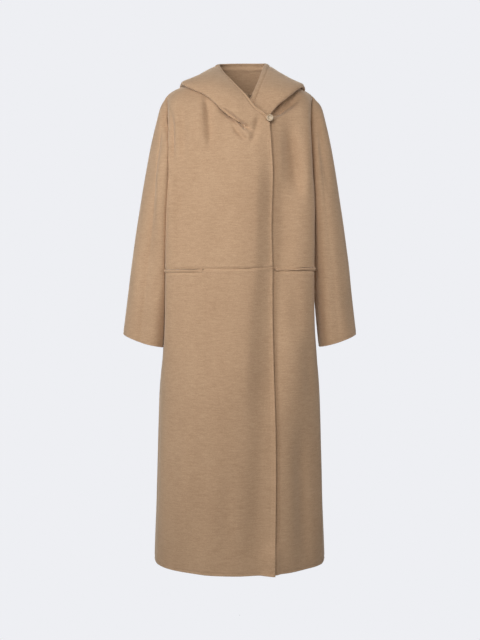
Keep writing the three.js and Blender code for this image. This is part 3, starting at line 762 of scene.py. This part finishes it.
def mark_flush(cloth, where):
    """Makes the border sharp where it runs into its neighbour, which keeps it out of seams and bevels."""
    for e in border_of(cloth):
        e.smooth = not where(middle(e))


def lay_out():
    """Every piece of cloth, rounded off, finer at its folds, and run together where no seam shows."""
    cloths = {node: rounded(node) for node in CUTS}
    for node, cloth in cloths.items():
        if not node.startswith("hood"):
            finer_by_border(cloth)
    widen_welt(cloths["right_pocket_welt"], 1.5 * MM, WELT_OVERLAP)
    widen_welt(cloths["left_pocket_welt"], WELT_OVERLAP, 2.5 * MM)
    run_together(
        cloths["hood_right"],
        cloths["right_front_bodice"],
        by_the_button,
        lambda co: ease(co.x, 8 * MM, 24 * MM),
    )
    run_together(cloths["hood_right"], cloths["hood_left"], at_centre_back, lambda co: 1)
    finer_at(cloths["right_front_bodice"], at_pinch)
    finer_at(cloths["hood_right"], at_pinch)
    finer_at(cloths["left_front_bodice"], under_left_fold)
    for node in HOOD_TURNING:
        rim = tree_of(along_border(border_of(cloths[node])))
        finer_at(cloths[node], lambda co: behind_neck(co) and rim.find(co)[2] < 28 * MM)
    for node, cloth in cloths.items():
        mark_flush(cloth, FLUSH.get(node, lambda co: False))
    for node in ("hood_right", "hood_left", "back_bodice", "right_front_bodice", "left_front_bodice"):
        lower_back_neck(cloths[node])
    return cloths


def lay_folds(cloths):
    """The folds that one piece of cloth makes against another."""
    for node in ("hood_right", "right_front_bodice"):
        draw_fold_down(cloths[node])
    tuck_under(cloths["hood_right"], cloths["right_front_bodice"], -118 * MM, -40 * MM, 15 * MM)
    tuck_under(cloths["hood_left"], cloths["left_front_bodice"], 92 * MM, 136 * MM, 12 * MM)
    body_nodes = [node for node in cloths if "bodice" in node or "skirt" in node]
    body = [BVHTree.FromBMesh(cloths[node]) for node in body_nodes]
    press_sleeve(cloths["right_sleeve"], body, -1, 24 * MM)
    press_sleeve(cloths["left_sleeve"], body, 1, 6 * MM)


def dress_cloth():
    """Every piece of cloth, sewn, folded and creased, before it gets its wall."""
    cloths = lay_out()
    sorted_borders = sort_borders(cloths)
    sew(cloths)
    lay_folds(cloths)
    for node, cloth in cloths.items():
        cloth.normal_update()
        sewn, free = sorted_borders[node]
        press_edges(node, cloth, [e for e in sewn if e.smooth], free)
        if "bodice" in node:
            lay_creases(cloth, BODICE_CREASES, FORWARD, lambda co: co.x)
        if "sleeve" not in node:
            crease_body(cloth)
    part_fronts(cloths)
    crease_sleeve(cloths["right_sleeve"], -1, RIGHT_SLEEVE_FRONT)
    crease_sleeve(cloths["left_sleeve"], 1, LEFT_SLEEVE_FRONT)
    for cloth in cloths.values():
        cloth.normal_update()
        settle(cloth)
    sew(cloths, 5 * MM, at_pinch)
    lap_centre_back(cloths)
    return cloths


def finish_cloth(node, cloth):
    """Gives a cloth its wall, rounds the wall's edges and says what it is."""
    weight = cloth.edges.layers.float.new("bevel_weight_edge")
    for e in border_of(cloth):
        e[weight] = 1.0 if e.smooth else 0.0
    piece = object_of(node + "_wool", cloth)
    piece.data.materials.append(WOOL)
    for face in piece.data.polygons:
        face.use_smooth = True
    wall = piece.modifiers.new("wall", "SOLIDIFY")
    wall.thickness = thickness_of(node)
    wall.offset = -1
    edge = piece.modifiers.new("edge", "BEVEL")
    edge.width = 1.0 * MM
    edge.segments = 2
    edge.limit_method = "WEIGHT"
    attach(piece, "root")
    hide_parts(node)


for node, cloth in dress_cloth().items():
    finish_cloth(node, cloth)


# ---------------------------------------------------------------- button
def turned(profile, x, y, z, steps):
    """A shape turned about a line from front to back. A row of the profile is a radius and a depth."""
    shape = bmesh.new()
    points = [shape.verts.new((radius, depth, 0)) for radius, depth in profile]
    lines = [shape.edges.new(pair) for pair in zip(points, points[1:])]
    turn = dict(axis=(0, 1, 0), cent=(0, 0, 0), angle=2 * math.pi, steps=steps, use_merge=True)
    bmesh.ops.spin(shape, geom=points + lines, **turn)
    bmesh.ops.remove_doubles(shape, verts=shape.verts, dist=0.001 * MM)
    bmesh.ops.recalc_face_normals(shape, faces=shape.faces)
    bmesh.ops.translate(shape, verts=shape.verts, vec=(x, y, z))
    return shape


def show_turned(name, shape, node, material):
    """Puts a turned shape in the scene in place of its node."""
    piece = object_of(name, shape)
    piece.data.materials.append(material)
    for face in piece.data.polygons:
        face.use_smooth = True
    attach(piece, "root")
    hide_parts(node)


def make_button():
    """A disc with a rounded rim round a dished middle. A row is a share of the radius and of the depth."""
    low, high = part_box("button")
    middle_x, middle_z = (low.x + high.x) / 2, (low.z + high.z) / 2
    radius, thick = (high.x - low.x) / 2, high.y - low.y
    dish = [(0, 0.5), (0.24, 0.5), (0.42, 0.47)]
    inner_rim = [(0.5, 0.4), (0.57, 0.24), (0.66, 0.1), (0.75, 0.02)]
    outer_rim = [(0.84, 0), (0.93, 0.08), (0.99, 0.28), (1, 0.5)]
    back = [(0.98, 0.74), (0.9, 0.93), (0.7, 1), (0.3, 1), (0, 1)]
    rows = dish + inner_rim + outer_rim + back
    profile = [(radius * r, thick * depth) for r, depth in rows]
    button = turned(profile, middle_x, low.y, middle_z, 48)
    show_turned("horn_button", button, "button", HORN)


def make_shank():
    """Thread wound round itself between the button and the front."""
    low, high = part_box("button_shank")
    radius, long = (high.x - low.x) / 2, high.y - low.y
    thread_width = 0.9 * MM
    turns = max(4, round(long / thread_width))
    rows = 4  # to each turn
    profile = [(0, 0)]
    for n in range(turns * rows + 1):
        bulge = abs(math.sin(n * math.pi / rows))
        profile.append((radius * (0.8 + 0.2 * bulge), long * n / (turns * rows)))
    profile.append((0, long))
    shank = turned(profile, (low.x + high.x) / 2, low.y, (low.z + high.z) / 2, 20)
    show_turned("wound_shank", shank, "button_shank", THREAD)


make_button()
make_shank()


# ---------------------------------------------------------------- floor, light and camera
FLOOR_DROP = 0.16  # how far below the hem the floor lies


def make_stage():
    """A pale studio whose floor curves up into its walls and roof. The coat floats above it, as if worn."""
    bowl = bmesh.new()
    floor = [(0.001, 0, 0), (4, 0, 0), (5.2, 0, 0.5)]
    wall = [(6, 0, 2), (6, 0, 6), (0.001, 0, 8)]
    points = [bowl.verts.new(place) for place in floor + wall]
    lines = [bowl.edges.new(pair) for pair in zip(points, points[1:])]
    turn = dict(axis=(0, 0, 1), cent=(0, 0, 0), angle=2 * math.pi, steps=64, use_merge=True)
    bmesh.ops.spin(bowl, geom=points + lines, **turn)
    bmesh.ops.translate(bowl, verts=bowl.verts, vec=(0, 0, HEM - FLOOR_DROP))
    stage = object_of("studio_floor", bowl)
    pale = bpy.data.materials.new("studio_paper")
    pale.use_nodes = True
    nodes, links = pale.node_tree.nodes, pale.node_tree.links
    nodes.remove(nodes["Principled BSDF"])
    glow = nodes.new("ShaderNodeEmission")
    glow.inputs["Color"].default_value = (0.855, 0.863, 0.896, 1)
    links.new(glow.outputs[0], nodes["Material Output"].inputs["Surface"])
    stage.data.materials.append(pale)
    stage.visible_diffuse = stage.visible_glossy = stage.visible_shadow = False


def add_softbox(name, place, aim, width, height, watts, colour):
    """A soft lamp at one place that faces another."""
    softbox = bpy.data.lights.new(name, "AREA")
    softbox.shape = "RECTANGLE"
    softbox.size, softbox.size_y = width, height
    softbox.energy = watts
    softbox.color = colour
    lamp = bpy.data.objects.new(name, softbox)
    lamp.location = place
    lamp.rotation_euler = (Vector(aim) - lamp.location).to_track_quat("-Z", "Y").to_euler()
    bpy.context.scene.collection.objects.link(lamp)


def make_light():
    """Even light from the front, a little stronger from the left, and a strong one behind for the rims."""
    world = bpy.data.worlds.new("soft_room")
    world.use_nodes = True
    world.node_tree.nodes["Background"].inputs["Color"].default_value = (1, 0.98, 0.96, 1)
    world.node_tree.nodes["Background"].inputs["Strength"].default_value = 0.14
    bpy.context.scene.world = world
    add_softbox("front_softbox", (-0.3, -1.7, 0.0), (0, 0, -0.3), 0.8, 0.8, 11.5, (1, 1, 1))
    add_softbox("broad_softbox", (-0.3, -2.5, 0.22), (0, 0, -0.2), 1.3, 1.2, 19.5, (1, 0.96, 0.92))
    add_softbox("left_softbox", (-1.85, -1.4, 0.15), (0, 0, -0.2), 1.0, 1.2, 22, (0.99, 1, 1))
    add_softbox("right_softbox", (2.1, -0.5, 0.15), (0, 0, -0.35), 1.2, 1.4, 9.5, (1, 1, 1))
    add_softbox("back_softbox", (0.7, 2.6, 0.3), (0, 0, -0.5), 1.4, 1.6, 60, (1, 1, 1))


def make_camera():
    """Straight on, at the height of the waist."""
    lens = bpy.data.cameras.new("camera")
    lens.lens = 50
    lens.shift_y = -0.078
    camera = bpy.data.objects.new("camera", lens)
    camera.location = (0.0008, -2.4, WAIST)
    camera.rotation_euler = (math.radians(90), 0, 0)
    bpy.context.scene.collection.objects.link(camera)
    bpy.context.scene.camera = camera


make_stage()
make_light()
make_camera()
bpy.context.scene.view_settings.view_transform = "Standard"
